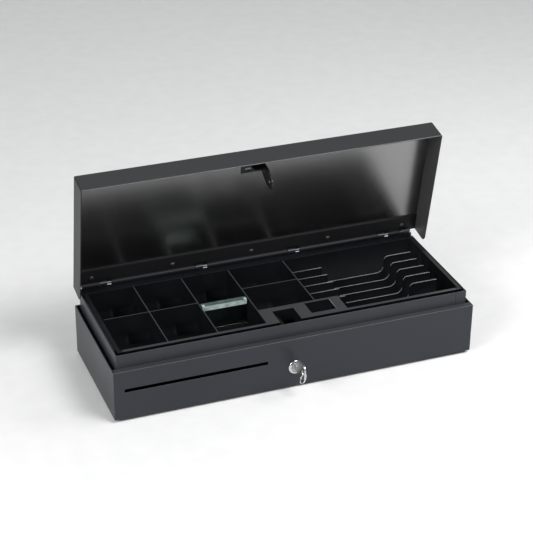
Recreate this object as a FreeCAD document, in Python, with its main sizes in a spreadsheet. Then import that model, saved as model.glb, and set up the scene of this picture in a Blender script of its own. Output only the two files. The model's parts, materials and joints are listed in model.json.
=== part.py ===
import FreeCAD
import Part

import math
import os
import re

# Flip-top cash drawer. Millimetres, +Z up, X to the right, front towards -Y.
# The origin is the centre of the base pan's underside. The rubber feet reach below it.
# The lid and what it carries are drawn closed and then turned open about the hinge rod.

SIZES = {
    # case
    "case_width": 460.0,
    "case_depth": 166.0,
    "gauge": 1.2,
    "ledge_height": 64.5,
    "closed_height": 96.0,
    "rim_height": 81.7,
    "rim_side_inset": 6.2,
    "rim_front_inset": 8.6,
    "rim_foot_height": 47.0,
    "side_foot_height": 53.3,
    "wrap_width": 14.3,
    "front_ledge_depth": 8.2,
    "foot_height": 4.0,
    "foot_radius": 8.0,
    "foot_stem_radius": 2.5,
    "foot_x": 205.0,
    "foot_y": 62.0,
    "screw_down_radius": 2.25,
    "screw_down_x": 180.0,
    "screw_down_y": 55.0,
    # media slot and lock hole in the front panel
    "slot_left": -217.0,
    "slot_right": -40.0,
    "slot_height": 38.0,
    "slot_gap": 4.4,
    "lock_x": -5.0,
    "lock_z": 26.0,
    # hinge
    "hinge_y": 81.0,
    "hinge_z": 89.8,
    "open_angle": 79.4,
    "rod_radius": 1.75,
    "rod_half_length": 219.5,
    "eye_bore": 1.8,
    "eye_radius": 3.0,
    "leaf_front": 60.0,
    "leaf_half_length": 221.0,
    "spring_bay_left": 205.0,
    "window_first": -191.5,
    "window_pitch": 124.0,
    "window_width": 16.4,
    "lug_width": 9.6,
    "lug_offset": -2.6,
    "rivet_first": -208.0,
    "rivet_pitch": 104.0,
    "rivet_y": 72.0,
    "rivet_head_radius": 2.8,
    "skirt_foot": 65.2,
    "skirt_corner": 8.0,
    # money tray
    "tray_half_width": 220.5,
    "tray_front": -69.2,
    "tray_back": 78.0,
    "tray_top": 82.5,
    "tray_flange": 2.6,
    "tray_wall": 2.0,
    "divider": 1.6,
    "cup_floor": 48.0,
    "cup_scoop": 11.0,
    "column_a": -158.0,
    "column_b": -96.5,
    "column_c": -35.0,
    "column_d": 38.5,
    "row_coins": 8.0,
    "row_last_coins": 22.5,
    "strip_back": -33.8,
    "strip_right": 68.0,
    "note_floor": 7.0,
    "fin_pitch": 19.0,
    "fin_last": -35.0,
    "fin_top": 81.8,
    "fin_low": 59.6,
    "fin_right": 202.5,
    "fin_drop": 79.0,
    "fin_rise": 164.0,
    "fin_run": 165.6,
    "passage_left": -19.5,
    "passage_right": 7.5,
    "passage_back": -42.0,
    "shelf_right": -7.5,
    "shelf_high": 74.0,
    "shelf_low": 69.0,
    "well_left": 24.0,
    "well_right": 56.0,
    "well_front": -61.0,
    "well_back": -37.0,
    "well_floor": 50.0,
    # clear coin divider
    "clear_web_y": 0.6,
    "clear_front": -3.6,
    "clear_back": 4.8,
    "clear_top": 82.3,
    # latch
    "latch_y": -58.4,
    "hook_thickness": 2.4,
    "pivot_x": -13.65,
    "pivot_z": 10.0,
    "pivot_radius": 2.5,
    "tooth_x": 2.2,
    "catch_z": 59.7,
    "catch_radius": 3.0,
    "striker_gauge": 2.0,
    "release_pin_radius": 1.5,
    "solenoid_z": 34.0,
    # lock
    "bezel_radius": 9.0,
    "bezel_depth": 3.0,
    "barrel_radius": 8.0,
    "barrel_length": 14.0,
    "plug_radius": 5.5,
    "cam_radius": 7.0,
    "cam_growth": 2.13,
    "cam_thickness": 1.5,
    "cam_y": -68.4,
    "key_thickness": 2.0,
    "bow_front": -114.0,
    "bow_back": -92.0,
    "bow_low": 23.5,
    "bow_high": 42.5,
    "bow_corner": 5.0,
    "key_tip": -71.5,
    "ring_hole_y": -108.5,
    "ring_hole_z": 32.0,
    "ring_hole_radius": 3.0,
    "ring_radius": 6.3,
    "ring_wire": 0.7,
}

# Route of the solenoid's lead inside the case, from its frame to the rear socket.
LEAD_ROUTE = [
    (30.0, -47.1, 27.0),
    (30.0, -35.0, 25.5),
    (27.0, -19.0, 14.5),
    (21.0, 0.0, 5.8),
    (14.0, 21.0, 4.6),
    (10.5, 40.0, 8.5),
    (10.0, 56.0, 16.5),
    (10.0, 69.6, 19.0),
]
LEAD_RADIUS = 1.6

doc = FreeCAD.newDocument("CashDrawer")
sheet = doc.addObject("Spreadsheet::Sheet", "Sizes")
for row, (alias, value) in enumerate(SIZES.items(), start=1):
    sheet.set(f"A{row}", alias)
    sheet.set(f"B{row}", str(value))
    sheet.setAlias(f"B{row}", alias)
doc.recompute()

X_AXIS = FreeCAD.Vector(1, 0, 0)
Y_AXIS = FreeCAD.Vector(0, 1, 0)
Z_AXIS = FreeCAD.Vector(0, 0, 1)
SUBPARTS = []


# ---------------------------------------------------------------- helpers


def size(alias):
    """The value of one cell of the sheet."""
    return float(getattr(sheet, alias))


def linked(expression):
    """An expression written with plain aliases, pointed at the sheet's cells."""
    return re.sub(
        r"[a-z_]{2,}",
        lambda word: f"Sizes.{word.group(0)}" if word.group(0) in SIZES else word.group(0),
        str(expression),
    )


def bind(feature, **expressions):
    """Drive a feature's properties from the sheet."""
    for name, expression in expressions.items():
        feature.setExpression(name.replace("__", "."), linked(expression))
    return feature


def block(name, x, y, z):
    """A box between pairs of limits, each an expression of the sheet."""
    box = doc.addObject("Part::Box", name)
    bind(box, Length=f"({x[1]}) - ({x[0]})", Width=f"({y[1]}) - ({y[0]})", Height=f"({z[1]}) - ({z[0]})")
    return bind(box, Placement__Base__x=x[0], Placement__Base__y=y[0], Placement__Base__z=z[0])


def rod(name, radius, axis, start, length):
    """A cylinder along +X, +Y or +Z from its start point."""
    cylinder = doc.addObject("Part::Cylinder", name)
    cylinder.Placement.Rotation = FreeCAD.Rotation(Z_AXIS, axis)
    bind(cylinder, Radius=radius, Height=length)
    return bind(
        cylinder, Placement__Base__x=start[0], Placement__Base__y=start[1], Placement__Base__z=start[2]
    )


def join(name, shapes):
    """One solid of several."""
    fused = doc.addObject("Part::MultiFuse", name)
    fused.Shapes = shapes
    fused.Refine = True
    return fused


def cut(name, base, tools):
    """A base with one or more tools taken away."""
    tool = tools[0]
    if len(tools) > 1:
        tool = doc.addObject("Part::MultiFuse", name + "_tools")
        tool.Shapes = tools
    result = doc.addObject("Part::Cut", name)
    result.Base = base
    result.Tool = tool
    result.Refine = True
    return result


def round_edges(name, base, radius, wanted):
    """Fillet the edges of a base that a test picks."""
    doc.recompute()
    fillet = doc.addObject("Part::Fillet", name)
    fillet.Base = base
    picked = [i for i, edge in enumerate(base.Shape.Edges, start=1) if wanted(edge)]
    fillet.Edges = [(i, radius, radius) for i in picked]
    return fillet


def along(edge, axis):
    """Does a straight edge run along an axis?"""
    if edge.Curve.TypeId != "Part::GeomLine":
        return False
    return abs(abs(edge.tangentAt(edge.FirstParameter) * axis) - 1) < 1e-6


def rounded_outline(corners):
    """A closed wire through (point, radius) corners, each rounded by a tangent arc."""
    points = [FreeCAD.Vector(*point) for point, _ in corners]
    edges, starts, ends = [], [], []
    for k, (corner, radius) in enumerate(zip(points, (radius for _, radius in corners))):
        before, after = points[k - 1], points[(k + 1) % len(points)]
        arrive, leave = (corner - before).normalize(), (after - corner).normalize()
        if radius == 0:
            starts.append(corner)
            ends.append(corner)
            edges.append(None)
            continue
        turn = arrive.getAngle(leave)
        setback = radius * math.tan(turn / 2)
        first, last = corner - arrive * setback, corner + leave * setback
        inward = (leave - arrive).normalize()
        middle = corner + inward * (radius / math.cos(turn / 2) - radius)
        starts.append(first)
        ends.append(last)
        edges.append(Part.Arc(first, middle, last).toShape())
    wire = []
    for k, arc in enumerate(edges):
        if arc is not None:
            wire.append(arc)
        wire.append(Part.makeLine(ends[k], starts[(k + 1) % len(points)]))
    return Part.Wire(wire)


def pad_outline(name, outline, normal, start, depth):
    """A flat outline padded along +X or +Y from start."""
    face = doc.addObject("Part::Feature", name + "Outline")
    face.Shape = Part.Face(outline)
    face.Placement.Base = normal * start
    pad = doc.addObject("Part::Extrusion", name)
    pad.Base = face
    pad.DirMode = "Custom"
    pad.Dir = normal
    pad.Solid = True
    return bind(pad, LengthFwd=depth)


def publish(feature, label, lid=False):
    """Name a finished sub-part, and turn it open with the lid if it rides on it."""
    feature.Label = label
    if lid:
        hinge = FreeCAD.Vector(0, size("hinge_y"), size("hinge_z"))
        turn = FreeCAD.Rotation(X_AXIS, -size("open_angle"))
        opened = FreeCAD.Placement(FreeCAD.Vector(0, 0, 0), turn, hinge)
        feature.Placement = opened.multiply(feature.Placement)
    SUBPARTS.append(feature)
    return feature


def origin_plane(body, role):
    """One of a body's own origin planes."""
    return next(plane for plane in body.Origin.OriginFeatures if plane.Role == role)


# ---------------------------------------------------------------- case


def make_base_pan():
    """Floor and two outer side walls, folded from one sheet."""
    half = "case_width / 2"
    back = "case_depth / 2 - gauge"
    floor = block("PanFloor", (f"-{half}", half), (f"-({back})", back), ("0", "gauge"))
    walls = [
        block("PanLeft", (f"-{half}", f"-{half} + gauge"), (f"-({back})", back), ("0", "ledge_height")),
        block("PanRight", (f"{half} - gauge", half), (f"-({back})", back), ("0", "ledge_height")),
    ]
    pan = join("PanFolded", [floor] + walls)
    holes = []
    for side in (-1, 1):
        for end in (-1, 1):
            tag = f"{'L' if side < 0 else 'R'}{'F' if end < 0 else 'B'}"
            holes.append(
                rod(
                    "ScrewDown" + tag,
                    "screw_down_radius",
                    Z_AXIS,
                    (f"{side} * screw_down_x", f"{end} * screw_down_y", "-1"),
                    "gauge + 2",
                )
            )
            holes.append(
                rod(
                    "FootHole" + tag,
                    "foot_stem_radius",
                    Z_AXIS,
                    (f"{side} * foot_x", f"{end} * foot_y", "-1"),
                    "gauge + 2",
                )
            )
    publish(cut("BasePan", pan, holes), "base_pan")


def make_front_panel():
    """Front sheet with the media slot, the lock hole and a ledge folded back along its top."""
    body = doc.addObject("PartDesign::Body", "FrontPanel")
    face = body.newObject("Sketcher::SketchObject", "FrontFace")
    face.AttachmentSupport = [(origin_plane(body, "XZ_Plane"), "")]
    face.MapMode = "FlatFace"
    half = size("case_width") / 2
    low, high = size("slot_height") - size("slot_gap") / 2, size("slot_height") + size("slot_gap") / 2
    for left, right, bottom, top in (
        (-half, half, 0.0, size("ledge_height")),
        (size("slot_left"), size("slot_right"), low, high),
    ):
        corners = [(left, bottom), (right, bottom), (right, top), (left, top)]
        for here, there in zip(corners, corners[1:] + corners[:1]):
            face.addGeometry(
                Part.LineSegment(FreeCAD.Vector(*here, 0), FreeCAD.Vector(*there, 0)), False
            )
    lock_hole = Part.Circle(
        FreeCAD.Vector(size("lock_x"), size("lock_z"), 0), Z_AXIS, size("barrel_radius") + 0.1
    )
    face.addGeometry(lock_hole, False)
    pad = body.newObject("PartDesign::Pad", "FrontSheet")
    pad.Profile = face
    pad.Reversed = True
    bind(pad, Length="gauge")
    bind(face, AttachmentOffset__Base__z="case_depth / 2")
    ledge = body.newObject("Sketcher::SketchObject", "LedgeOutline")
    ledge.AttachmentSupport = [(origin_plane(body, "XY_Plane"), "")]
    ledge.MapMode = "FlatFace"
    side = half - size("gauge") - 0.1
    front, back = -size("case_depth") / 2, -size("case_depth") / 2 + size("front_ledge_depth")
    corners = [(-side, front), (side, front), (side, back), (-side, back)]
    for here, there in zip(corners, corners[1:] + corners[:1]):
        ledge.addGeometry(Part.LineSegment(FreeCAD.Vector(*here, 0), FreeCAD.Vector(*there, 0)), False)
    bind(ledge, AttachmentOffset__Base__z="ledge_height - gauge")
    fold = body.newObject("PartDesign::Pad", "LedgeFold")
    fold.Profile = ledge
    bind(fold, Length="gauge")
    doc.recompute()
    publish(body, "front_panel")


def make_rear_panel():
    """Back sheet up to the hinge, with four lugs rolled round the rod and the socket's cut-out."""
    back, face = "case_depth / 2", "case_depth / 2 - gauge"
    inner = "case_width / 2 - rim_side_inset - gauge - 0.1"
    sheets = [
        block("RearLow", ("-case_width / 2", "case_width / 2"), (face, back), ("0", "ledge_height")),
        block(
            "RearHigh", (f"-({inner})", inner), (face, back), ("ledge_height", "hinge_z - eye_radius - 1")
        ),
    ]
    bores = []
    for k in range(4):
        left = f"window_first + {k} * window_pitch + lug_offset - lug_width / 2"
        right = f"window_first + {k} * window_pitch + lug_offset + lug_width / 2"
        sheets.append(
            block(f"LugStem{k}", (left, right), (face, back), ("hinge_z - eye_radius - 1.2", "hinge_z - 1"))
        )
        sheets.append(rod(f"LugRoll{k}", "eye_radius", X_AXIS, (left, "hinge_y", "hinge_z"), "lug_width"))
        bores.append(
            rod(
                f"LugBore{k}",
                "eye_bore",
                X_AXIS,
                (f"{left} - 1", "hinge_y", "hinge_z"),
                "lug_width + 2",
            )
        )
    bores.append(block("SocketCutout", ("1.9", "18.1"), (f"{face} - 1", f"{back} + 1"), ("11.9", "26.1")))
    publish(cut("RearPanel", join("RearSheets", sheets), bores), "rear_panel")


def make_inner_front_wall():
    """Raised rim across the front up to the right wall's wrap, on a lip that reaches the panel."""
    outer = "-case_depth / 2 + rim_front_inset"
    left = "-(case_width / 2 - rim_side_inset)"
    right = "case_width / 2 - rim_side_inset - wrap_width - 0.15"
    wall = block(
        "RimFrontSheet", (left, right), (outer, f"{outer} + gauge"), ("rim_foot_height", "rim_height")
    )
    lip = block(
        "RimFrontLip",
        (left, right),
        ("-case_depth / 2 + gauge", f"{outer} + gauge"),
        ("rim_foot_height", "rim_foot_height + gauge"),
    )
    publish(join("RimFront", [wall, lip]), "inner_front_wall")


def make_inner_side_wall(name, side):
    """Raised rim along one side: a sheet with a foot to the outer wall. The right one wraps the front."""
    outer = "case_width / 2 - rim_side_inset"
    front = "-case_depth / 2 + rim_front_inset"
    if side < 0:
        front += " + gauge"
    back = "case_depth / 2 - gauge - 0.1"

    def span(low, high):
        return (low, high) if side > 0 else (f"-({high})", f"-({low})")

    tag = "Right" if side > 0 else "Left"
    sheet_wall = block(
        f"Rim{tag}Sheet", span(f"{outer} - gauge", outer), (front, back), ("gauge", "rim_height")
    )
    foot = block(
        f"Rim{tag}Foot",
        span(outer, "case_width / 2 - gauge"),
        (front, back),
        ("side_foot_height", "side_foot_height + gauge"),
    )
    folds = [sheet_wall, foot]
    if side > 0:
        folds.append(
            block(
                f"Rim{tag}Wrap",
                span(f"{outer} - wrap_width", outer),
                (front, f"{front} + gauge"),
                ("rim_foot_height", "rim_height"),
            )
        )
    publish(join(f"Rim{tag}", folds), name)


def make_tray_rail(name, side):
    """Angle welded inside a side wall. The tray's flange rests on it."""
    inner = "case_width / 2 - rim_side_inset - gauge"

    def span(low, high):
        return (low, high) if side > 0 else (f"-({high})", f"-({low})")

    tag = "Right" if side > 0 else "Left"
    under = "tray_top - tray_wall"
    leg = block(f"Rail{tag}Leg", span(f"{inner} - gauge", inner), ("-60", "70"), (f"{under} - 12", under))
    shelf = block(
        f"Rail{tag}Shelf", span("tray_half_width - 2.2", inner), ("-60", "70"), (f"{under} - gauge", under)
    )
    publish(join(f"Rail{tag}", [leg, shelf]), name)


def make_hinge_rod():
    """Plain steel rod through the lugs and the lid's rolled leaf."""
    shaft = rod(
        "HingeRod", "rod_radius", X_AXIS, ("-rod_half_length", "hinge_y", "hinge_z"), "2 * rod_half_length"
    )
    publish(shaft, "hinge_rod")


def make_foot(name, side, end):
    """Rubber foot with a stem pushed through the pan and a bead that holds it."""
    tag = f"{'L' if side < 0 else 'R'}{'F' if end < 0 else 'B'}"
    at = (f"{side} * foot_x", f"{end} * foot_y")
    pad = rod("FootPad" + tag, "foot_radius", Z_AXIS, (*at, "-foot_height"), "foot_height")
    stem = rod("FootStem" + tag, "foot_stem_radius", Z_AXIS, (*at, "-1"), "gauge + 1.5")
    bead = rod("FootBead" + tag, "foot_stem_radius + 1", Z_AXIS, (*at, "gauge"), "1.5")
    publish(join("Foot" + tag, [pad, stem, bead]), name)


# ---------------------------------------------------------------- lid


def make_lid_shell():
    """Folded lid: top, front and side skirts, and a hem along the hinge edge."""
    half, front, back = "case_width / 2", "-case_depth / 2", "case_depth / 2"
    outer = block("LidOuter", (f"-{half}", half), (front, back), ("skirt_foot", "closed_height"))
    corners = round_edges(
        "LidOuterRound",
        outer,
        1.5,
        lambda edge: edge.BoundBox.ZMax > size("closed_height") - 0.1
        and edge.BoundBox.YMin < size("case_depth") / 2 - 0.1
        or along(edge, Z_AXIS)
        and edge.BoundBox.YMax < 0,
    )
    hollow = block(
        "LidHollow",
        (f"-{half} + gauge", f"{half} - gauge"),
        (f"{front} + gauge", f"{back} + 1"),
        ("skirt_foot - 1", "closed_height - gauge"),
    )
    corner_square = block(
        "SkirtCornerSquare",
        (f"-{half} - 1", f"{half} + 1"),
        (f"{back} - skirt_corner", f"{back} + 1"),
        ("skirt_foot - 1", "skirt_foot + skirt_corner"),
    )
    corner_round = rod(
        "SkirtCornerRound",
        "skirt_corner",
        X_AXIS,
        (f"-{half} - 2", f"{back} - skirt_corner", "skirt_foot + skirt_corner"),
        "case_width + 4",
    )
    corner = cut("SkirtCorner", corner_square, [corner_round])
    skin = cut("LidSkin", corners, [hollow, corner])
    hem = block(
        "LidHem",
        (f"-{half} + gauge", f"{half} - gauge"),
        ("leaf_front", f"{back} - 0.2"),
        ("closed_height - 2 * gauge", "closed_height - gauge"),
    )
    publish(join("LidShell", [skin, hem]), "lid_shell", lid=True)


def make_lid_hinge_leaf():
    """Long strip riveted under the hem, rolled round the rod, with windows for the lugs and spring."""
    low = "closed_height - 3 * gauge"
    strip = block(
        "LeafStrip",
        ("-leaf_half_length", "leaf_half_length"),
        ("leaf_front", "hinge_y"),
        (low, "closed_height - 2 * gauge"),
    )
    roll = rod(
        "LeafRoll", "eye_radius", X_AXIS, ("-leaf_half_length", "hinge_y", "hinge_z"), "2 * leaf_half_length"
    )
    tools = [
        rod(
            "LeafBore",
            "eye_bore",
            X_AXIS,
            ("-leaf_half_length - 1", "hinge_y", "hinge_z"),
            "2 * leaf_half_length + 2",
        )
    ]
    depth = ("hinge_y - eye_radius - 1.5", "hinge_y + eye_radius + 1")
    height = ("hinge_z - eye_radius - 1", "closed_height - 2 * gauge + 0.1")
    for k in range(4):
        middle = f"window_first + {k} * window_pitch"
        width = (f"{middle} - window_width / 2", f"{middle} + window_width / 2")
        tools.append(block(f"LeafWindow{k}", width, depth, height))
    tools.append(block("LeafSpringBay", ("spring_bay_left", "leaf_half_length + 1"), depth, height))
    leaf = cut("HingeLeaf", join("LeafSolid", [strip, roll]), tools)
    publish(leaf, "lid_hinge_leaf", lid=True)


def make_lid_rivets():
    """Five domed rivet heads along the hinge leaf."""
    heads = []
    face = size("closed_height") - 3 * size("gauge")
    radius = size("rivet_head_radius")
    height = 1.3
    ball = (radius**2 + height**2) / (2 * height)
    for k in range(5):
        x = size("rivet_first") + k * size("rivet_pitch")
        dome = Part.makeSphere(ball, FreeCAD.Vector(x, size("rivet_y"), face - height + ball))
        above = Part.makeBox(
            4 * ball, 4 * ball, 2 * ball + 2, FreeCAD.Vector(x - 2 * ball, size("rivet_y") - 2 * ball, face)
        )
        heads.append(dome.cut(above))
    group = doc.addObject("Part::Feature", "LidRivets")
    group.Shape = Part.makeCompound(heads)
    publish(group, "lid_rivets", lid=True)


def make_striker_plate():
    """Thin plate welded inside the lid, painted with it, with an adjusting slot beside the striker."""
    roof = "closed_height - gauge"
    plate = block("StrikerPlateSheet", ("-22", "8"), ("-79.5", "-50"), (f"{roof} - gauge", roof))
    ends = [
        rod(f"PlateSlotEnd{tag}", "2.1", Z_AXIS, (x, "-55.2", f"{roof} - 3"), "4")
        for tag, x in (("A", "-15.4"), ("B", "-10.6"))
    ]
    middle = block("PlateSlotMiddle", ("-15.4", "-10.6"), ("-57.3", "-53.1"), (f"{roof} - 3", f"{roof} + 1"))
    publish(cut("StrikerPlate", plate, ends + [middle]), "striker_plate", lid=True)


def make_latch_striker():
    """Bracket under the lid: a base flange, a web and a broad tooth with the catch hole."""
    roof = "closed_height - 2 * gauge"
    half = "striker_gauge / 2"
    right = f"tooth_x + {half}"
    base = block("StrikerBase", ("-13.7", right), ("-79", "-67"), (f"{roof} - striker_gauge", roof))
    web = block("StrikerWeb", ("-13.7", right), ("-69", "-67"), ("71.5", roof))
    x = size("tooth_x") - size("striker_gauge") / 2
    top = size("closed_height") - 2 * size("gauge")
    outline = rounded_outline(
        [
            ((0, -69.0, top), 0),
            ((0, -70.0, 66.0), 3.0),
            ((0, -63.4, 51.5), 3.0),
            ((0, -53.2, 51.5), 4.0),
            ((0, -47.8, 61.0), 3.0),
            ((0, -53.0, 81.0), 6.0),
            ((0, -62.0, top), 0),
        ]
    )
    tooth = pad_outline("StrikerTooth", outline, X_AXIS, x, "striker_gauge")
    catch = rod("StrikerCatch", "catch_radius", X_AXIS, ("-3", "latch_y", "catch_z"), "10")
    striker = cut("Striker", join("StrikerPlates", [base, web, tooth]), [catch])
    publish(striker, "latch_striker", lid=True)


def make_striker_screws():
    """Pan-head screws that hold the striker's base flange, beside the web."""
    under = "closed_height - 2 * gauge - striker_gauge - 1.6"
    heads = [
        rod("StrikerScrewA", "2.8", Z_AXIS, ("-9.5", "-74.5", under), "1.6"),
        rod("StrikerScrewB", "2.8", Z_AXIS, ("-1", "-74.5", under), "1.6"),
    ]
    group = doc.addObject("Part::Compound", "StrikerScrews")
    group.Links = heads
    publish(group, "striker_screws", lid=True)


def make_lid_spring():
    """Torsion spring on the right end of the rod, one leg on the leaf and one on the rear panel."""
    wire, radius = 0.6, size("rod_radius") + 1.0
    left, turns, pitch = size("spring_bay_left") + 2.0, 8.0, 1.35
    path = Part.makeHelix(pitch, pitch * turns, radius)
    start = FreeCAD.Vector(radius, 0, 0)
    circle = Part.Wire([Part.makeCircle(wire, start, Y_AXIS)])
    coil = Part.Wire(path.Edges).makePipeShell([circle], True, True)
    coil.Placement = FreeCAD.Placement(
        FreeCAD.Vector(left, size("hinge_y"), size("hinge_z")), FreeCAD.Rotation(Z_AXIS, X_AXIS)
    )
    spring = doc.addObject("Part::Feature", "LidSpring")
    spring.Shape = coil
    publish(spring, "lid_spring")


# ---------------------------------------------------------------- money tray


def make_money_tray():
    """Moulded tray: eight coin cups on the left, six upright note slots on the right."""
    outer = "tray_half_width - tray_flange"
    front, back = "tray_front + tray_flange", "tray_back - tray_flange"
    half_divider = "divider / 2"
    body_top = "tray_top - 1"
    tub_floor, note_under = "cup_floor - tray_wall", "note_floor - tray_wall"
    outside = [
        block(
            "TrayPlate",
            ("-tray_half_width", "tray_half_width"),
            ("tray_front", "tray_back"),
            ("tray_top - tray_wall", "tray_top"),
        ),
        block(
            "TrayCoins",
            (f"-({outer})", f"column_c + {half_divider}"),
            (front, back),
            (tub_floor, body_top),
        ),
        block(
            "TrayLastCoins",
            (f"column_c - {half_divider}", f"column_d + {half_divider}"),
            ("strip_back - divider / 2", back),
            (tub_floor, body_top),
        ),
        block(
            "TrayNotesLeft",
            (f"column_d - {half_divider}", f"strip_right + {half_divider}"),
            ("strip_back - divider / 2", back),
            (note_under, body_top),
        ),
        block("TrayNotes", (f"strip_right - {half_divider}", outer), (front, back), (note_under, body_top)),
        block(
            "TrayWell",
            ("well_left - divider", "well_right + divider"),
            ("well_front - divider", "strip_back"),
            ("well_floor - divider", body_top),
        ),
        block("TrayStripLip", ("column_c", "strip_right"), (front, f"{front} + divider"), ("66", body_top)),
        block(
            "TrayPassageLip",
            ("passage_left - divider", "passage_right + divider"),
            ("tray_front + 0.5", "passage_back + divider"),
            ("66", body_top),
        ),
    ]
    tools = []
    coins_front, coins_back = f"{front} + tray_wall", f"{back} - tray_wall"
    columns = [
        (f"-({outer}) + tray_wall", f"column_a - {half_divider}"),
        (f"column_a + {half_divider}", f"column_b - {half_divider}"),
        (f"column_b + {half_divider}", f"column_c - {half_divider}"),
        (f"column_c + {half_divider}", f"column_d - {half_divider}"),
    ]
    rows = [
        [(coins_front, f"row_coins - {half_divider}"), (f"row_coins + {half_divider}", coins_back)],
        [(coins_front, f"row_coins - {half_divider}"), (f"row_coins + {half_divider}", coins_back)],
        [(coins_front, coins_back)],
        [
            (f"strip_back + {half_divider}", f"row_last_coins - {half_divider}"),
            (f"row_last_coins + {half_divider}", coins_back),
        ],
    ]
    for column, (x_span, y_spans) in enumerate(zip(columns, rows)):
        for row_number, y_span in enumerate(y_spans):
            name = f"Cup{column}{row_number}"
            hollow = block(name, x_span, y_span, ("cup_floor", "tray_top + 1"))
            scooped = round_edges(
                name + "Scoop",
                hollow,
                size("cup_scoop"),
                lambda edge: along(edge, X_AXIS) and edge.BoundBox.ZMax < size("cup_floor") + 0.1,
            )
            tools.append(scooped)
    note_back = coins_back
    tools += [
        block(
            "NotesBehindStrip",
            (f"column_d + {half_divider}", f"strip_right + {half_divider} + 1"),
            (f"strip_back + {half_divider}", note_back),
            ("note_floor", "tray_top + 1"),
        ),
        block(
            "NotesPocket",
            (f"strip_right + {half_divider}", f"{outer} - tray_wall"),
            (coins_front, note_back),
            ("note_floor", "tray_top + 1"),
        ),
        block(
            "LatchPassage",
            ("passage_left", "passage_right"),
            ("tray_front - 1", "passage_back"),
            ("60", "tray_top + 1"),
        ),
        block(
            "WellPocket",
            ("well_left", "well_right"),
            ("well_front", "well_back"),
            ("well_floor", "tray_top + 1"),
        ),
    ]
    shell = cut("TrayShell", join("TrayOutside", outside), tools)
    fins = [make_note_fin(k) for k in range(5)]
    publish(join("MoneyTray", [shell, make_passage_shelf()] + fins), "money_tray")


def make_passage_shelf():
    """Sloping shelf that covers the hook on the left of the latch passage."""
    left, right = size("passage_left") - 0.8, size("shelf_right")
    high, low, wall = size("shelf_high"), size("shelf_low"), size("divider")
    front, back = size("tray_front") + 0.5, size("passage_back") + 0.8
    outline = Part.makePolygon(
        [
            FreeCAD.Vector(left, 0, high),
            FreeCAD.Vector(right, 0, low),
            FreeCAD.Vector(right, 0, low - wall),
            FreeCAD.Vector(left, 0, high - wall),
            FreeCAD.Vector(left, 0, high),
        ]
    )
    return pad_outline("PassageShelf", outline, Y_AXIS, front, str(back - front))


def make_note_fin(k):
    """One of five fins between the note slots, low in the middle so that fingers reach the notes."""
    y = size("fin_last") + k * size("fin_pitch")
    left = size("column_d") if k else size("strip_right")
    right, drop = size("fin_right"), size("fin_drop")
    rise, run = size("fin_rise"), size("fin_run")
    top, low, floor = size("fin_top"), size("fin_low"), size("note_floor") - 1
    outline = rounded_outline(
        [
            ((left, 0, floor), 0),
            ((left, 0, top), 0),
            ((drop, 0, top), 1.5),
            ((drop + 1.5, 0, low), 3.0),
            ((rise, 0, low), 9.0),
            ((run, 0, top), 5.5),
            ((right, 0, top), 1.5),
            ((right, 0, floor), 0),
        ]
    )
    return pad_outline(f"NoteFin{k}", outline, Y_AXIS, y - size("divider") / 2, "divider")


def make_clear_divider():
    """Loose clear divider in the third coin column: a web under a channel with two end blocks."""
    left, right = "column_b + divider / 2 + 1", "column_c - divider / 2 - 1.6"
    web = ("clear_web_y - 1", "clear_web_y + 1")
    front_lip = ("clear_front", "clear_front + 1.6")
    top = "clear_top - 1.6"
    parts = [
        block("ClearWeb", (left, right), web, ("cup_floor", "clear_top - 1")),
        block("ClearTop", (left, right), ("clear_front", "clear_back"), (top, "clear_top")),
        block("ClearFrontLip", (left, right), front_lip, (f"{top} - 5", "clear_top")),
        block("ClearBackLip", (left, right), ("clear_back - 1.6", "clear_back"), (f"{top} - 3", "clear_top")),
    ]
    for tag, low, high in (("Left", left, f"{left} + 4"), ("Right", f"{right} - 4", right)):
        ends = ("clear_front", "clear_front + 4")
        parts.append(block(f"ClearEnd{tag}", (low, high), ends, (f"{top} - 5", "clear_top + 0.8")))
    publish(join("ClearDivider", parts), "clear_coin_divider")


# ---------------------------------------------------------------- latch


def make_latch_bracket():
    """Pressed bracket on the pan floor that carries the hook's pivot, its spring and the solenoid."""
    floor = "gauge"
    behind = "latch_y + hook_thickness / 2 + 1.4"
    parts = [
        block("BracketBase", ("-34", "47.6"), ("-74", "-44"), (floor, f"{floor} + 1.6")),
        block("BracketPivotWall", ("-23", "-5"), (behind, f"{behind} + 1.6"), (floor, "20")),
        block("BracketEndWall", ("46", "47.6"), ("latch_y - 11", "latch_y + 11"), (floor, "solenoid_z + 11")),
        block("BracketSpringTab", ("10", "11.2"), ("latch_y - 4", "latch_y + 4"), (floor, "25")),
    ]
    holes = [rod("BracketPivotHole", "pivot_radius", Y_AXIS, ("pivot_x", f"{behind} - 1", "pivot_z"), "4")]
    publish(cut("LatchBracket", join("BracketPlates", parts), holes), "latch_bracket")


def make_bracket_screws():
    """Two screws that hold the bracket to the pan."""
    heads = [
        rod("BracketScrewA", "2.8", Z_AXIS, ("-29", "-58", "gauge + 1.6"), "1.7"),
        rod("BracketScrewB", "2.8", Z_AXIS, ("2", "-49", "gauge + 1.6"), "1.7"),
    ]
    group = doc.addObject("Part::Compound", "BracketScrews")
    group.Links = heads
    publish(group, "bracket_screws")


def make_latch_pivot():
    """Shouldered pin that the hook turns on."""
    front = "latch_y - hook_thickness / 2"
    back = "latch_y + hook_thickness / 2"
    start = ("pivot_x", f"{front} - 1.4", "pivot_z")
    head = rod("PivotHead", "4", Y_AXIS, start, "1.2")
    shank = rod("PivotShank", "pivot_radius", Y_AXIS, start, "hook_thickness + 4.4")
    shoulder = rod("PivotShoulder", "4", Y_AXIS, ("pivot_x", f"{back} + 0.2", "pivot_z"), "1.2")
    publish(join("PivotPin", [shank, head, shoulder]), "latch_pivot_pin")


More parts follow.
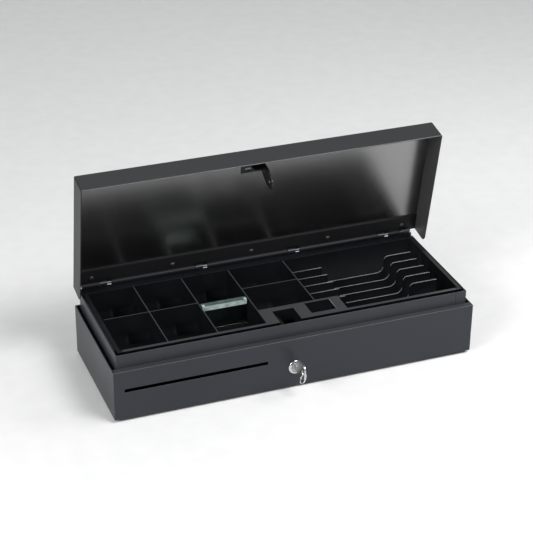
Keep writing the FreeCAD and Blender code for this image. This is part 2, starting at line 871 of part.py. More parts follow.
def make_latch_hook():
    """Sprung hook whose nose enters the striker's catch hole."""
    outline = rounded_outline(
        [
            ((-17.5, 0, 10.0), 0),
            ((-17.5, 0, 48.0), 4.0),
            ((-8.0, 0, 56.5), 2.0),
            ((-8.0, 0, 64.5), 2.0),
            ((-2.6, 0, 64.5), 2.0),
            ((6.7, 0, 58.7), 0.3),
            ((6.7, 0, 57.8), 0.3),
            ((-1.3, 0, 57.8), 0.8),
            ((-1.3, 0, 53.0), 2.0),
            ((-9.8, 0, 45.0), 3.0),
            ((-9.8, 0, 10.0), 0),
        ]
    )
    front = size("latch_y") - size("hook_thickness") / 2
    plate = pad_outline("HookPlate", outline, Y_AXIS, front, "hook_thickness")
    start = "latch_y - hook_thickness / 2"
    boss = rod("HookBoss", "6", Y_AXIS, ("pivot_x", start, "pivot_z"), "hook_thickness")
    through = "hook_thickness + 2"
    pivot, pin = ("pivot_x", f"{start} - 1", "pivot_z"), ("pivot_x", f"{start} - 1", "lock_z")
    bore = rod("HookBore", "pivot_radius + 0.05", Y_AXIS, pivot, through)
    seat = rod("HookPinSeat", "release_pin_radius", Y_AXIS, pin, through)
    publish(cut("LatchHook", join("HookBlank", [plate, boss]), [bore, seat]), "latch_hook")


def make_release_pin():
    """Pin riveted in the hook, which the lock's cam pushes."""
    pin = rod("ReleasePin", "release_pin_radius", Y_AXIS, ("pivot_x", "-68.6", "lock_z"), "latch_y + 69.7")
    publish(pin, "release_pin")


def make_latch_spring():
    """Small tension spring that pulls the hook towards the striker."""
    left, right = -9.6, 9.8
    wire, radius, turns = 0.35, 2.0, 16.0
    length = right - left - 2 * wire
    pitch = length / turns
    path = Part.makeHelix(pitch, length, radius)
    circle = Part.Wire([Part.makeCircle(wire, FreeCAD.Vector(radius, 0, 0), Y_AXIS)])
    coil = Part.Wire(path.Edges).makePipeShell([circle], True, True)
    coil.Placement = FreeCAD.Placement(
        FreeCAD.Vector(left + wire, size("latch_y"), 20.0), FreeCAD.Rotation(Z_AXIS, X_AXIS)
    )
    spring = doc.addObject("Part::Feature", "LatchSpring")
    spring.Shape = coil
    publish(spring, "latch_spring")


def make_solenoid():
    """Open-frame solenoid on the bracket's end wall, and the plunger that pushes the hook."""
    low, high = "solenoid_z - 11", "solenoid_z + 11"
    frame_parts = [
        block("FrameNear", ("14", "15.6"), ("latch_y - 11", "latch_y + 11"), (low, high)),
        block("FrameFar", ("44.4", "46"), ("latch_y - 11", "latch_y + 11"), (low, high)),
        block("FrameBack", ("14", "46"), ("latch_y + 9.4", "latch_y + 11"), (low, high)),
    ]
    bore = rod("FrameBore", "3.7", X_AXIS, ("13", "latch_y", "solenoid_z"), "4")
    publish(cut("SolenoidFrame", join("FramePlates", frame_parts), [bore]), "solenoid_frame")
    coil = rod("CoilBody", "9", X_AXIS, ("15.6", "latch_y", "solenoid_z"), "28.8")
    coil_bore = rod("CoilBore", "3.7", X_AXIS, ("14", "latch_y", "solenoid_z"), "28")
    publish(cut("SolenoidCoil", coil, [coil_bore]), "solenoid_coil")
    core = rod("PlungerCore", "3.6", X_AXIS, ("8", "latch_y", "solenoid_z"), "30")
    push_rod = rod("PlungerRod", "1.5", X_AXIS, ("-9.3", "latch_y", "solenoid_z"), "18")
    publish(join("Plunger", [core, push_rod]), "solenoid_plunger")
    heads = [
        rod("SolenoidScrewA", "2.6", X_AXIS, ("47.6", "latch_y", "solenoid_z + 6"), "1.6"),
        rod("SolenoidScrewB", "2.6", X_AXIS, ("47.6", "latch_y", "solenoid_z - 6"), "1.6"),
    ]
    group = doc.addObject("Part::Compound", "SolenoidScrews")
    group.Links = heads
    publish(group, "solenoid_screws")


# ---------------------------------------------------------------- lock and key


def make_lock():
    """Cam lock: barrel with bezel, nut, turning plug, spiral cam and the cam's screw."""
    face = "-case_depth / 2"
    bezel_start = ("lock_x", f"{face} - bezel_depth", "lock_z")
    bezel = rod("LockBezel", "bezel_radius", Y_AXIS, bezel_start, "bezel_depth")
    thread = rod("LockThread", "barrel_radius", Y_AXIS, ("lock_x", face, "lock_z"), "barrel_length")
    bore_start = ("lock_x", f"{face} - 5", "lock_z")
    bore = rod("LockBore", "plug_radius + 0.05", Y_AXIS, bore_start, "barrel_length + 6")
    publish(cut("LockBarrel", join("LockOuter", [bezel, thread]), [bore]), "lock_barrel")

    hexagon = doc.addObject("Part::Prism", "NutHexagon")
    hexagon.Polygon = 6
    hexagon.Circumradius = 12.0
    hexagon.Height = 3.0
    hexagon.Placement.Rotation = FreeCAD.Rotation(Z_AXIS, Y_AXIS)
    bind(
        hexagon,
        Placement__Base__x="lock_x",
        Placement__Base__y=f"{face} + gauge",
        Placement__Base__z="lock_z",
    )
    nut_bore = rod("NutBore", "barrel_radius + 0.05", Y_AXIS, ("lock_x", f"{face}", "lock_z"), "6")
    publish(cut("LockNut", hexagon, [nut_bore]), "lock_nut")

    plug = rod("PlugBody", "plug_radius", Y_AXIS, ("lock_x", f"{face} - bezel_depth", "lock_z"), "17.6")
    keyway = block(
        "Keyway",
        ("lock_x - key_thickness / 2 - 0.1", "lock_x + key_thickness / 2 + 0.1"),
        (f"{face} - bezel_depth - 1", "-71"),
        ("lock_z - 3.6", "lock_z + 3.6"),
    )
    publish(cut("LockPlug", plug, [keyway]), "lock_plug")
    make_lock_cam()
    screw = rod("CamScrew", "2.8", Y_AXIS, ("lock_x", "cam_y + cam_thickness", "lock_z"), "1.6")
    publish(screw, "cam_screw")


def make_lock_cam():
    """Snail cam: its radius grows evenly over a quarter turn, so the hook follows the key."""
    base, growth, steps = size("cam_radius"), size("cam_growth"), 8

    def rim(degrees, radius):
        angle = math.radians(degrees)
        return FreeCAD.Vector(radius * math.cos(angle), 0, radius * math.sin(angle))

    # The pin waits at 180 degrees. Turning the key clockwise brings the lower left quarter up to it.
    spiral_points = [rim(180 + 90 * k / steps, base + growth * k / steps) for k in range(steps + 1)]
    spiral = Part.BSplineCurve()
    spiral.interpolate(spiral_points)
    step = Part.LineSegment(rim(270, base + growth), rim(270, base))
    plain = Part.Arc(rim(270, base), rim(45, base), rim(180, base))
    outline = Part.Wire([spiral.toShape(), step.toShape(), plain.toShape()])
    disc = Part.Face(outline).extrude(Y_AXIS * size("cam_thickness"))
    cam = doc.addObject("Part::Feature", "LockCam")
    cam.Shape = disc
    bind(cam, Placement__Base__x="lock_x", Placement__Base__y="cam_y", Placement__Base__z="lock_z")
    publish(cam, "lock_cam")


def make_key():
    """Flat key standing in the plug, with a rounded bow and a hole for the ring."""
    front, back = size("bow_front"), size("bow_back")
    low, high = size("bow_low"), size("bow_high")
    corner = size("bow_corner")
    outline = rounded_outline(
        [
            ((0, front, low), corner),
            ((0, back, low), corner),
            ((0, back, high), corner),
            ((0, front, high), corner),
        ]
    )
    bow = pad_outline("KeyBow", outline, X_AXIS, size("lock_x") - size("key_thickness") / 2, "key_thickness")
    start = "lock_x - key_thickness / 2"
    blade = block(
        "KeyBlade",
        (start, "lock_x + key_thickness / 2"),
        ("bow_back - 2", "key_tip"),
        ("lock_z - 3.3", "lock_z + 3.3"),
    )
    hole = rod(
        "KeyHole",
        "ring_hole_radius",
        X_AXIS,
        (f"{start} - 1", "ring_hole_y", "ring_hole_z"),
        "key_thickness + 2",
    )
    publish(cut("Key", join("KeyBlank", [blade, bow]), [hole]), "key")


def make_key_ring():
    """Wire ring hanging from the key's hole, turned a little about the vertical."""
    ring = doc.addObject("Part::Torus", "KeyRing")
    turned = FreeCAD.Rotation(Z_AXIS, 35).multiply(FreeCAD.Rotation(Z_AXIS, Y_AXIS))
    ring.Placement.Rotation = turned
    bind(ring, Radius1="ring_radius", Radius2="ring_wire")
    bind(
        ring,
        Placement__Base__x="lock_x",
        Placement__Base__y="ring_hole_y",
        Placement__Base__z="ring_hole_z - ring_radius - 1.5",
    )
    publish(ring, "key_ring")


# ---------------------------------------------------------------- rear socket and lead


def make_rear_socket():
    """Plastic socket in the rear panel for the lead from the receipt printer."""
    back = "case_depth / 2"
    housing = block("SocketHousing", ("2", "18"), ("70", f"{back} + 0.8"), ("12", "26"))
    mouth = block("SocketMouth", ("5", "15"), ("73", f"{back} + 2"), ("14.5", "21.5"))
    key_way = block("SocketKey", ("8", "12"), ("73", f"{back} + 2"), ("21", "24"))
    publish(cut("RearSocket", housing, [mouth, key_way]), "rear_socket")


def make_solenoid_lead():
    """Round lead along straight runs joined by tangent arcs."""
    points = [FreeCAD.Vector(*point) for point in LEAD_ROUTE]
    edges = []
    here = points[0]
    for before, corner, after in zip(points, points[1:], points[2:]):
        arrive = (corner - before).normalize()
        leave = (after - corner).normalize()
        setback = 0.45 * min((corner - before).Length, (after - corner).Length)
        first, last = corner - arrive * setback, corner + leave * setback
        turn = arrive.getAngle(leave)
        radius = setback / math.tan(turn / 2)
        inward = (leave - arrive).normalize()
        centre = corner + inward * (radius / math.cos(turn / 2))
        middle = centre - inward * radius
        print(f"lead bend radius {radius:.1f} mm")
        edges.append(Part.makeLine(here, first))
        edges.append(Part.Arc(first, middle, last).toShape())
        here = last
    edges.append(Part.makeLine(here, points[-1]))
    path = Part.Wire(edges)
    section = Part.Wire([Part.makeCircle(LEAD_RADIUS, points[0], points[1] - points[0])])
    tube = path.makePipeShell([section], True, True)
    lead = doc.addObject("Part::Feature", "SolenoidLead")
    lead.Shape = tube
    print(f"lead length {path.Length:.1f} mm, volume {tube.Volume:.1f} mm3,"
          f" section times length {math.pi * LEAD_RADIUS**2 * path.Length:.1f} mm3")
    publish(lead, "solenoid_lead")


# ---------------------------------------------------------------- build


make_base_pan()
make_front_panel()
make_rear_panel()
make_inner_front_wall()
make_inner_side_wall("inner_side_wall_left", -1)
make_inner_side_wall("inner_side_wall_right", 1)
make_tray_rail("tray_rail_left", -1)
make_tray_rail("tray_rail_right", 1)
make_hinge_rod()
for side, side_name in ((-1, "left"), (1, "right")):
    for end, end_name in ((-1, "front"), (1, "rear")):
        make_foot(f"foot_{end_name}_{side_name}", side, end)
make_lid_shell()
make_lid_hinge_leaf()
make_lid_rivets()
make_striker_plate()
make_latch_striker()
make_striker_screws()
make_lid_spring()
make_money_tray()
make_clear_divider()
make_latch_bracket()
make_bracket_screws()
make_latch_pivot()
make_latch_hook()
make_release_pin()
make_latch_spring()
make_solenoid()
make_lock()
make_key()
make_key_ring()
make_rear_socket()
make_solenoid_lead()
doc.recompute()

for feature in doc.Objects:
    failed = [state for state in feature.State if state in ("Invalid", "Error")]
    if failed:
        raise RuntimeError(f"{feature.Name} is {failed}")
for subpart in SUBPARTS:
    if subpart.Shape.isNull() or not subpart.Shape.isValid() or not subpart.Shape.Solids:
        raise RuntimeError(f"{subpart.Label} has no sound shape")

os.makedirs("parts", exist_ok=True)
for subpart in SUBPARTS:
    subpart.Shape.exportStep(f"parts/{subpart.Label}.step")
    bounds = subpart.Shape.BoundBox
    print(
        f"{subpart.Label}: {len(subpart.Shape.Solids)} solid,"
        f" x {bounds.XMin:.1f} {bounds.XMax:.1f}, y {bounds.YMin:.1f} {bounds.YMax:.1f},"
        f" z {bounds.ZMin:.1f} {bounds.ZMax:.1f}, {subpart.Shape.Volume / 1000:.2f} cm3"
    )
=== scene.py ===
import json
import math

import bmesh
import bpy
from mathutils import Matrix, Vector


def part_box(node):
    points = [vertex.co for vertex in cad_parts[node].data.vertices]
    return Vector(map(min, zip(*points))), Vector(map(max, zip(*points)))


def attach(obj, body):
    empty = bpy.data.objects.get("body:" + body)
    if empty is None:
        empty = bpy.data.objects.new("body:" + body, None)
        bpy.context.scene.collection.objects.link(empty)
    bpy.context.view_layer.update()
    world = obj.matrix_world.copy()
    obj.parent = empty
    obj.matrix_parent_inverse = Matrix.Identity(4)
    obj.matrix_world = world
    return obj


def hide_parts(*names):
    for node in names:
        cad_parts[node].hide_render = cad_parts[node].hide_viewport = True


# Flip-top cash drawer. Metres in the scene, millimetres in the numbers below.
# X right, Y back, Z up. The base pan's underside is at z = 0 and the feet reach z = -4.

MM = 0.001
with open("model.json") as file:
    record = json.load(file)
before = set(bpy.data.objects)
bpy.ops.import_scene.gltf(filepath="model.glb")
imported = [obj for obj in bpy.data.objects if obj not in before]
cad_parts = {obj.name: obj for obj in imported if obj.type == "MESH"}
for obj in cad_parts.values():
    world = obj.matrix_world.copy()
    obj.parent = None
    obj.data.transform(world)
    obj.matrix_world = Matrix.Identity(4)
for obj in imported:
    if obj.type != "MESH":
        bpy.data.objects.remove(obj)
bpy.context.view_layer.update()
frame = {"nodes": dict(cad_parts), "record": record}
NODES = frame["nodes"]
JOINTS = {joint["name"]: joint for joint in frame["record"]["behaviour"]["joints"]}

CASE_WIDTH, CASE_DEPTH = 460.0, 166.0
CLOSED_HEIGHT = 96.0
SHEET = 1.2
LID_FOOT = 65.2
LID_FOLD = 1.5
LID_CORNER = 8.0
LEAF_FRONT = 60.0
LOCK_X, LOCK_Z = -5.0, 26.0
RING_HOLE = (-108.5, 32.0)
FOOT_X, FOOT_Y = 205.0, 62.0
FACE_Y = -CASE_DEPTH / 2
SHARP_ANGLE = math.radians(35)
WELD_GAP = 0.004 * MM


def mm(*values):
    """A point or a size given in millimetres, in metres."""
    return Vector(values) * MM


# ------------------------------------------------------------ materials


class Nodes:
    """A small helper to write a material's node tree."""

    def __init__(self, name):
        self.material = bpy.data.materials.new(name)
        self.material.use_nodes = True
        self.tree = self.material.node_tree
        self.shader = self.tree.nodes["Principled BSDF"]
        self.coords = self.add("ShaderNodeTexCoord").outputs["Object"]

    def add(self, kind, **settings):
        node = self.tree.nodes.new(kind)
        for key, value in settings.items():
            setattr(node, key, value)
        return node

    def link(self, source, target):
        self.tree.links.new(source, target)

    def set(self, **values):
        """Constants on the shader's own sockets, named with underscores for spaces."""
        for key, value in values.items():
            self.shader.inputs[key.replace("_", " ")].default_value = value

    def noise(self, scale, detail=2.0, stretch=(1, 1, 1), roughness=0.5):
        """Noise in the piece's own coordinates, with its size set per axis."""
        mapping = self.add("ShaderNodeMapping")
        mapping.inputs["Scale"].default_value = stretch
        self.link(self.coords, mapping.inputs["Vector"])
        noise = self.add("ShaderNodeTexNoise")
        noise.inputs["Scale"].default_value = scale
        noise.inputs["Detail"].default_value = detail
        noise.inputs["Roughness"].default_value = roughness
        self.link(mapping.outputs["Vector"], noise.inputs["Vector"])
        return noise.outputs["Fac"]

    def ramp(self, source, low, high, start=0.3, end=0.7):
        """Map a value between two others."""
        node = self.add("ShaderNodeMapRange")
        node.inputs["From Min"].default_value = start
        node.inputs["From Max"].default_value = end
        node.inputs["To Min"].default_value = low
        node.inputs["To Max"].default_value = high
        self.link(source, node.inputs["Value"])
        return node.outputs["Result"]

    def colour(self, factor, first, second):
        """Blend two colours into the base colour."""
        node = self.add("ShaderNodeMix", data_type="RGBA")
        first_input, second_input, blended = node.inputs[6], node.inputs[7], node.outputs[2]
        self.link(factor, node.inputs["Factor"])
        first_input.default_value = (*first, 1)
        second_input.default_value = (*second, 1)
        self.link(blended, self.shader.inputs["Base Color"])

    def rough(self, factor, low, high):
        """Drive the roughness between two values."""
        self.link(self.ramp(factor, low, high), self.shader.inputs["Roughness"])

    def bump(self, height, strength, distance):
        """A bump from a height, over a distance in metres."""
        node = self.add("ShaderNodeBump")
        node.inputs["Strength"].default_value = strength
        node.inputs["Distance"].default_value = distance
        self.link(height, node.inputs["Height"])
        self.link(node.outputs["Normal"], self.shader.inputs["Normal"])


def shades(colour):
    """A slightly darker and a slightly lighter shade of a colour."""
    spread = 0.12
    return [c * (1 - spread) for c in colour], [c * (1 + spread) for c in colour]


def powder_coat(name, colour, roughness, grain=0.25, tint=(1, 1, 1)):
    """Black powder coat: a fine orange-peel grain and a faint unevenness of tone and gloss."""
    nodes = Nodes(name)
    cloud = nodes.noise(9.0, detail=4.0)
    nodes.set(Specular_Tint=(*tint, 1))
    nodes.colour(nodes.ramp(cloud, 0, 1), *shades(colour))
    nodes.rough(cloud, roughness - 0.03, roughness + 0.04)
    nodes.bump(nodes.noise(1400.0), grain, 0.00003)
    return nodes.material


def lid_lining(name):
    """Dark inside of the lid's top sheet, with rolling marks and a high index that makes it mirror."""
    nodes = Nodes(name)
    streaks = nodes.noise(600.0, detail=3.0, stretch=(1.0, 0.012, 0.012))
    broad = nodes.noise(7.0, detail=3.0, stretch=(1.0, 0.5, 0.5))
    nodes.colour(nodes.ramp(broad, 0, 1), (0.0030, 0.0030, 0.0031), (0.0052, 0.0052, 0.0054))
    nodes.rough(streaks, 0.225, 0.245)
    nodes.set(IOR=3.0)
    return nodes.material


def plastic(name, colour, roughness, grain=0.2, size=900.0, specular=0.5):
    """Moulded plastic with a fine eroded texture."""
    nodes = Nodes(name)
    cloud = nodes.noise(14.0, detail=3.0)
    nodes.set(Specular_IOR_Level=specular)
    nodes.colour(nodes.ramp(cloud, 0, 1), *shades(colour))
    nodes.rough(cloud, roughness - 0.05, roughness + 0.05)
    nodes.bump(nodes.noise(size), grain, 0.00004)
    return nodes.material


def tray_top(name):
    """The tray's plastic on its top face, with painted light: paler between the cups where the light falls,
    darker on the outer flange.
    """
    flange_x, flange_y, blend = 212.5, 71.0, 1.5
    nodes = Nodes(name)
    nodes.set(Roughness=0.34)
    place = nodes.add("ShaderNodeSeparateXYZ")
    nodes.link(nodes.coords, place.inputs["Vector"])
    aside = nodes.add("ShaderNodeMath", operation="ABSOLUTE")
    nodes.link(place.outputs["X"], aside.inputs[0])
    between = nodes.ramp(aside.outputs[0], 1, 0, flange_x * MM, (flange_x + blend) * MM)
    before = nodes.ramp(place.outputs["Y"], 1, 0, flange_y * MM, (flange_y + blend) * MM)
    both = nodes.add("ShaderNodeMath", operation="MULTIPLY")
    nodes.link(between, both.inputs[0])
    nodes.link(before, both.inputs[1])
    # Painted light: the top faces between the cups are paler than the rest of the tray's plastic.
    nodes.colour(both.outputs[0], (0.0060, 0.0064, 0.0072), (0.039, 0.040, 0.043))
    nodes.bump(nodes.noise(900.0), 0.1, 0.00004)
    return nodes.material


def metal(name, colour, roughness, brushed=0.0, direction=(1, 1, 1), spread=0.06):
    """Bare or plated metal, brushed along one direction if asked."""
    nodes = Nodes(name)
    nodes.set(Metallic=1.0)
    marks = nodes.noise(400.0, detail=4.0, stretch=direction, roughness=0.6)
    nodes.colour(nodes.ramp(marks, 0, 1), [c * 0.85 for c in colour], colour)
    nodes.rough(marks, roughness - spread, roughness + spread)
    nodes.bump(marks, brushed, 0.00003)
    return nodes.material


def clear_plastic(name):
    """Clear moulded plastic with a green cast."""
    nodes = Nodes(name)
    nodes.set(Transmission_Weight=1.0, IOR=1.49)
    cloud = nodes.noise(60.0)
    nodes.colour(nodes.ramp(cloud, 0, 1), (0.66, 0.86, 0.80), (0.76, 0.93, 0.88))
    nodes.rough(cloud, 0.05, 0.14)
    return nodes.material


def frosted_plastic(name, transmission, dark, pale):
    """The same plastic where the moulding is milky and catches the light."""
    nodes = Nodes(name)
    nodes.set(Transmission_Weight=transmission, IOR=1.49)
    cloud = nodes.noise(180.0, detail=3.0)
    nodes.colour(nodes.ramp(cloud, 0, 1), dark, pale)
    nodes.rough(cloud, 0.25, 0.45)
    return nodes.material


def winding_tape(name):
    """Brown winding tape round the solenoid's coil."""
    nodes = Nodes(name)
    turns = nodes.noise(900.0, stretch=(1.0, 0.02, 0.02))
    nodes.colour(nodes.ramp(turns, 0, 1), (0.10, 0.03, 0.015), (0.22, 0.07, 0.03))
    nodes.rough(turns, 0.3, 0.5)
    nodes.bump(turns, 0.4, 0.0002)
    return nodes.material


MATERIALS = {
    "case_paint": powder_coat("case_paint", (0.0110, 0.0122, 0.0160), 0.36, tint=(0.86, 0.92, 1.0)),
    "rim_paint": powder_coat("rim_paint", (0.0330, 0.0345, 0.0385), 0.40, tint=(0.34, 0.36, 0.40)),
    "lid_paint": powder_coat(
        "lid_paint", (0.0130, 0.0133, 0.0142), 0.46, grain=0.15, tint=(0.85, 0.89, 0.94)
    ),
    "striker_paint": powder_coat("striker_paint", (0.004, 0.004, 0.0045), 0.30),
    "bare_steel": metal("bare_steel", (0.14, 0.14, 0.145), 0.44, 0.1, (0.05, 1, 1)),
    "spring_steel": metal("spring_steel", (0.12, 0.12, 0.125), 0.45),
    "zinc": metal("zinc", (0.50, 0.51, 0.53), 0.36),
    "rubber": plastic("rubber", (0.014, 0.014, 0.015), 0.75, 0.3, 500.0),
    "tray_plastic": plastic("tray_plastic", (0.0030, 0.0040, 0.0050), 0.66, 0.15, specular=0.11),
    "clear_plastic": clear_plastic("clear_plastic"),
    "coil_tape": winding_tape("coil_tape"),
    "lock_chrome": metal("lock_chrome", (0.66, 0.66, 0.68), 0.16, spread=0.04),
    "key_nickel": metal("key_nickel", (0.62, 0.62, 0.61), 0.34, spread=0.05),
    "socket_plastic": plastic("socket_plastic", (0.02, 0.02, 0.022), 0.40),
    "lead_sheath": plastic("lead_sheath", (0.016, 0.016, 0.017), 0.48),
}
LINING = lid_lining("lid_lining")
FROSTED = frosted_plastic("clear_edge", 0.30, (0.36, 0.48, 0.46), (0.66, 0.78, 0.75))
MILKY = frosted_plastic("clear_top", 0.70, (0.10, 0.16, 0.15), (0.24, 0.34, 0.32))
TRAY_TOP_PAINTED_LIGHT = tray_top("tray_top")
# Painted highlight: the thin bright lines along the note fins' rounded edges.
TRAY_EDGE_PAINTED_HIGHLIGHT = plastic("tray_edge_painted_highlight", (0.30, 0.303, 0.31), 0.34, grain=0.05)
# Painted highlight: the thin line of light along the front panel's top fold.
FOLD_PAINTED_HIGHLIGHT = powder_coat("fold_painted_highlight", (0.085, 0.088, 0.095), 0.34, grain=0.1)
# Painted highlight: the bright line of light along the lid's front rim.
RIM_PAINTED_HIGHLIGHT = powder_coat("rim_painted_highlight", (0.200, 0.203, 0.212), 0.30, grain=0.1)
RIVET = metal("rivet", (0.11, 0.11, 0.113), 0.60)
PLUG_FACE = metal("plug_face", (0.42, 0.42, 0.425), 0.36)
LEAF = powder_coat("leaf_paint", (0.0060, 0.0062, 0.0070), 0.60, tint=(0.62, 0.62, 0.64))
# Paler paint on the inside of the lid's skirts than on the top's lining: painted light for the light the
# skirts catch.
SKIRT_PAINTED_LIGHT = powder_coat("skirt_painted_light", (0.050, 0.050, 0.050), 0.42, tint=(0.8, 0.8, 0.8))

# ------------------------------------------------------------ CAD nodes carried over


def keep_flat(piece):
    """Shade large flat faces flat, and let the rounded edges between them carry the change."""
    normals = piece.modifiers.new("flat faces", "WEIGHTED_NORMAL")
    normals.weight = 100


def soften(piece, width, segments=2):
    """Round a piece's sharp edges a little and keep its flat faces flat."""
    bevel = piece.modifiers.new("edge", "BEVEL")
    bevel.width = width * MM
    bevel.segments = segments
    bevel.limit_method = "ANGLE"
    bevel.angle_limit = SHARP_ANGLE
    bevel.miter_outer = "MITER_ARC"
    keep_flat(piece)


SOFT_EDGES = {
    "tray_rail_left": 0.3,
    "tray_rail_right": 0.3,
    "striker_screws": 0.5,
    "bracket_screws": 0.5,
    "latch_hook": 0.3,
    "solenoid_frame": 0.3,
    "solenoid_screws": 0.5,
    "lock_nut": 0.5,
    "lock_plug": 0.3,
    "lock_cam": 0.25,
    "cam_screw": 0.5,
    "rear_socket": 0.35,
}
SLOTS = {entry["node"]: entry["material_slot"] for entry in frame["record"]["subparts"]}
BODY_OF = {
    node: body for body, nodes in frame["record"]["behaviour"]["bodies"].items() for node in nodes
}
for name, slot in SLOTS.items():
    NODES[name].data.materials.clear()
    NODES[name].data.materials.append(MATERIALS[slot])
NODES["lock_plug"].data.materials[0] = PLUG_FACE
for name, width in SOFT_EDGES.items():
    weld = NODES[name].modifiers.new("join", "WELD")
    weld.merge_threshold = WELD_GAP
    soften(NODES[name], width)

# ------------------------------------------------------------ mesh building


def box(bm, low, high):
    """A closed box between two corners in millimetres."""
    made = bmesh.ops.create_cube(bm, size=1.0)["verts"]
    low, high = mm(*low), mm(*high)
    for vert in made:
        vert.co = Vector(low[i] if vert.co[i] < 0 else high[i] for i in range(3))


def lathe(bm, profile, centre, axis, segments, closed=False):
    """Turn (radius, distance) points about an axis. An open profile starts and ends on the axis."""
    turn = Vector((0, 0, 1)).rotation_difference(Vector(axis)).to_matrix()
    middle = mm(*centre)
    rings = []
    for radius, distance in profile:
        count = 1 if radius == 0 else segments
        ring = []
        for k in range(count):
            angle = 2 * math.pi * k / segments
            spoke = mm(radius * math.cos(angle), radius * math.sin(angle), distance)
            ring.append(bm.verts.new(middle + turn @ spoke))
        rings.append(ring)
    pairs = list(zip(rings, rings[1:]))
    if closed:
        pairs.append((rings[-1], rings[0]))
    for near, far in pairs:
        for k in range(segments):
            after = (k + 1) % segments
            corners = [near[k % len(near)], near[after % len(near)], far[after % len(far)], far[k % len(far)]]
            bm.faces.new(list(dict.fromkeys(corners)))


def plate(bm, outlines, start, depth):
    """A flat plate across X, from an outline of (y, z) points and its holes."""
    edges = []
    for outline in outlines:
        verts = [bm.verts.new(mm(start, y, z)) for y, z in outline]
        edges += [bm.edges.new(pair) for pair in zip(verts, verts[1:] + verts[:1])]
    filled = bmesh.ops.triangle_fill(bm, use_beauty=True, use_dissolve=False, edges=edges)["geom"]
    faces = [item for item in filled if isinstance(item, bmesh.types.BMFace)]
    grown = bmesh.ops.extrude_face_region(bm, geom=faces, use_keep_orig=True)["geom"]
    far_side = [item for item in grown if isinstance(item, bmesh.types.BMVert)]
    bmesh.ops.translate(bm, verts=far_side, vec=mm(depth, 0, 0))


def tube(bm, points, radius):
    """Round wire along a run of points in metres, with flat ends."""
    sides = 8
    rings = []
    across = None
    for k, point in enumerate(points):
        ahead = (points[min(k + 1, len(points) - 1)] - points[max(k - 1, 0)]).normalized()
        if across is None:
            across = ahead.orthogonal().normalized()
        across = (across - ahead * across.dot(ahead)).normalized()
        up = ahead.cross(across)
        ring = []
        for s in range(sides):
            angle = 2 * math.pi * s / sides
            spoke = across * math.cos(angle) + up * math.sin(angle)
            ring.append(bm.verts.new(point + spoke * radius * MM))
        rings.append(ring)
    for near, far in zip(rings, rings[1:]):
        for s in range(sides):
            after = (s + 1) % sides
            bm.faces.new((near[s], near[after], far[after], far[s]))
    bm.faces.new(list(reversed(rings[0])))
    bm.faces.new(rings[-1])


def arc(centre, radius, start, end, steps):
    """Points on an arc in a plane, from one angle to another in degrees."""
    points = []
    for k in range(steps + 1):
        angle = math.radians(start + (end - start) * k / steps)
        points.append((centre[0] + radius * math.cos(angle), centre[1] + radius * math.sin(angle)))
    return points


def open_lid(bm):
    """Turn a shape drawn with the lid closed to the open rest pose."""
    hinge = Vector(JOINTS["lid_hinge"]["pos_m"])
    opened = -math.radians(max(JOINTS["lid_hinge"]["range_deg"]))
    turn = Matrix.Translation(hinge) @ Matrix.Rotation(opened, 4, "X") @ Matrix.Translation(-hinge)
    bmesh.ops.transform(bm, matrix=turn, verts=bm.verts)


def make_piece(name, bm, body, slot, replaces=(), materials=None, edge=None, segments=2, weigh=False):
    """Turn a bmesh into a piece that rides on a body and stands for CAD nodes."""
    bmesh.ops.recalc_face_normals(bm, faces=bm.faces)
    mesh = bpy.data.meshes.new(name)
    bm.to_mesh(mesh)
    bm.free()
    for material in materials or [MATERIALS[slot]]:
        mesh.materials.append(material)
    for polygon in mesh.polygons:
        polygon.use_smooth = True
    piece = bpy.data.objects.new(name, mesh)
    bpy.context.collection.objects.link(piece)
    if edge:
        soften(piece, edge, segments)
    elif weigh:
        keep_flat(piece)
    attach(piece, body)
    if replaces:
        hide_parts(*replaces)


def rounded_copy(name, node, width, material=None, finish=None):
    """A CAD node's shape with its flat faces whole and its outer edges rounded, as a piece of its own.

    finish is a list of (material, test) pairs. A test of a face's normal, its centre in millimetres
    and whether it is part of a rounded edge picks the faces that take another material.
    """
    bm = bmesh.new()
    bm.from_mesh(NODES[node].data)
    bmesh.ops.remove_doubles(bm, verts=bm.verts, dist=WELD_GAP)
    bmesh.ops.dissolve_limit(bm, angle_limit=math.radians(0.5), verts=bm.verts, edges=bm.edges)
    sharp = [
        edge
        for edge in bm.edges
        if edge.is_manifold and edge.is_convex and edge.calc_face_angle() > SHARP_ANGLE
    ]
    beveled = bmesh.ops.bevel(
        bm, geom=sharp, offset=width * MM, segments=3, profile=0.5, affect="EDGES", clamp_overlap=True
    )
    rounded = set(beveled["faces"])
    materials = [material or MATERIALS[SLOTS[node]]]
    for other, test in finish or []:
        materials.append(other)
        for face in bm.faces:
            if test(face.normal, face.calc_center_median() / MM, face in rounded):
                face.material_index = len(materials) - 1
    make_piece(name, bm, BODY_OF[node], SLOTS[node], [node], materials, weigh=True)


def folded_skin(inset):
    """One face of the lid's sheet: top, front and side skirts, with round folds and round rear corners."""
    half, front, back = CASE_WIDTH / 2 - inset, FACE_Y + inset, CASE_DEPTH / 2
    roof = CLOSED_HEIGHT - inset
    bm = bmesh.new()
    rear = arc((back - LID_CORNER, LID_FOOT + LID_CORNER), LID_CORNER, -90, 0, 8)
    skirt = [(front, roof), (front, LID_FOOT)] + rear + [(back, roof)]
    left, right = ([bm.verts.new(mm(x, y, z)) for y, z in skirt] for x in (-half, half))
    bm.faces.new(left)
    bm.faces.new(right[::-1])
    bm.faces.new((left[1], left[0], right[0], right[1]))
    bm.faces.new((left[0], left[-1], right[-1], right[0]))
    corners = ((left[0], right[0]), (left[0], left[1]), (right[0], right[1]))
    rims = ((left[0], left[-1]), (right[0], right[-1]))
    folds = [bm.edges.get(pair) for pair in corners + rims]
    radius = (LID_FOLD - inset) * MM
    bmesh.ops.bevel(bm, geom=folds, offset=radius, segments=4, profile=0.5, affect="EDGES")
    open_lid(bm)
    bm.verts.index_update()
    return bm


